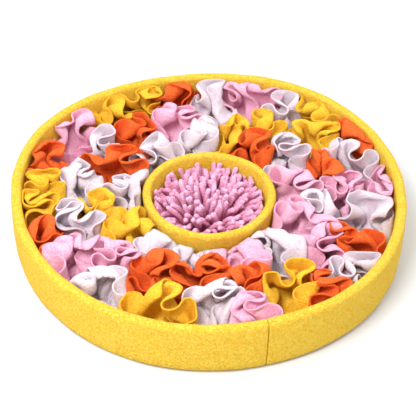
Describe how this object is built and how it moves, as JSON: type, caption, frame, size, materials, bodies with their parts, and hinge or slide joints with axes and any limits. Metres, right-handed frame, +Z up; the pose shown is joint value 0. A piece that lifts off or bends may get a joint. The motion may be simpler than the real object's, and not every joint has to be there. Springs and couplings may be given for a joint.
{
  "type": "snuffle mat",
  "caption": "Round pet snuffle mat: a soft ring wall, gathered fleece ruffles to hide food in, and a low inner ring round a pile of chenille fingers.",
  "frame": {"origin": "centre of the base panel's flat underside, on the surface the mat lies on", "axes": "+Z up out of the mat, -Y towards the side where the outer ring's seam is"},
  "size_m": [0.4413, 0.4413, 0.0661],
  "materials": {
    "yellow_fleece": "matt brushed fleece, over foam in the two rings",
    "orange_fleece": "matt brushed fleece",
    "pink_fleece": "matt brushed fleece",
    "white_fleece": "matt brushed fleece",
    "pink_chenille": "soft knobbly chenille"
  },
  "bodies": {
    "root": {"outer_ring": "yellow_fleece", "inner_ring": "yellow_fleece", "base_panel": "yellow_fleece", "pile": "pink_chenille", "orange_01": "orange_fleece", "white_01": "white_fleece", "pink_01": "pink_fleece", "white_02": "white_fleece", "yellow_01": "yellow_fleece", "orange_02": "orange_fleece", "white_03": "white_fleece", "pink_02": "pink_fleece", "white_04": "white_fleece", "white_05": "white_fleece", "orange_03": "orange_fleece", "yellow_02": "yellow_fleece", "pink_03": "pink_fleece", "white_06": "white_fleece", "yellow_03": "yellow_fleece", "white_07": "white_fleece", "pink_04": "pink_fleece", "orange_04": "orange_fleece", "yellow_04": "yellow_fleece", "yellow_05": "yellow_fleece", "orange_05": "orange_fleece", "pink_05": "pink_fleece", "yellow_06": "yellow_fleece", "yellow_07": "yellow_fleece", "pink_06": "pink_fleece", "yellow_08": "yellow_fleece", "yellow_09": "yellow_fleece", "orange_06": "orange_fleece", "pink_07": "pink_fleece", "orange_07": "orange_fleece", "pink_08": "pink_fleece", "orange_08": "orange_fleece", "orange_09": "orange_fleece", "orange_10": "orange_fleece", "pink_09": "pink_fleece", "white_08": "white_fleece", "yellow_10": "yellow_fleece", "white_09": "white_fleece", "orange_11": "orange_fleece", "white_10": "white_fleece", "orange_12": "orange_fleece", "white_11": "white_fleece", "white_12": "white_fleece", "yellow_11": "yellow_fleece", "orange_13": "orange_fleece", "white_13": "white_fleece", "pink_10": "pink_fleece", "white_14": "white_fleece", "pink_11": "pink_fleece", "white_15": "white_fleece", "pink_12": "pink_fleece", "white_16": "white_fleece", "white_17": "white_fleece", "yellow_12": "yellow_fleece", "white_18": "white_fleece"}
  },
  "joints": []
}
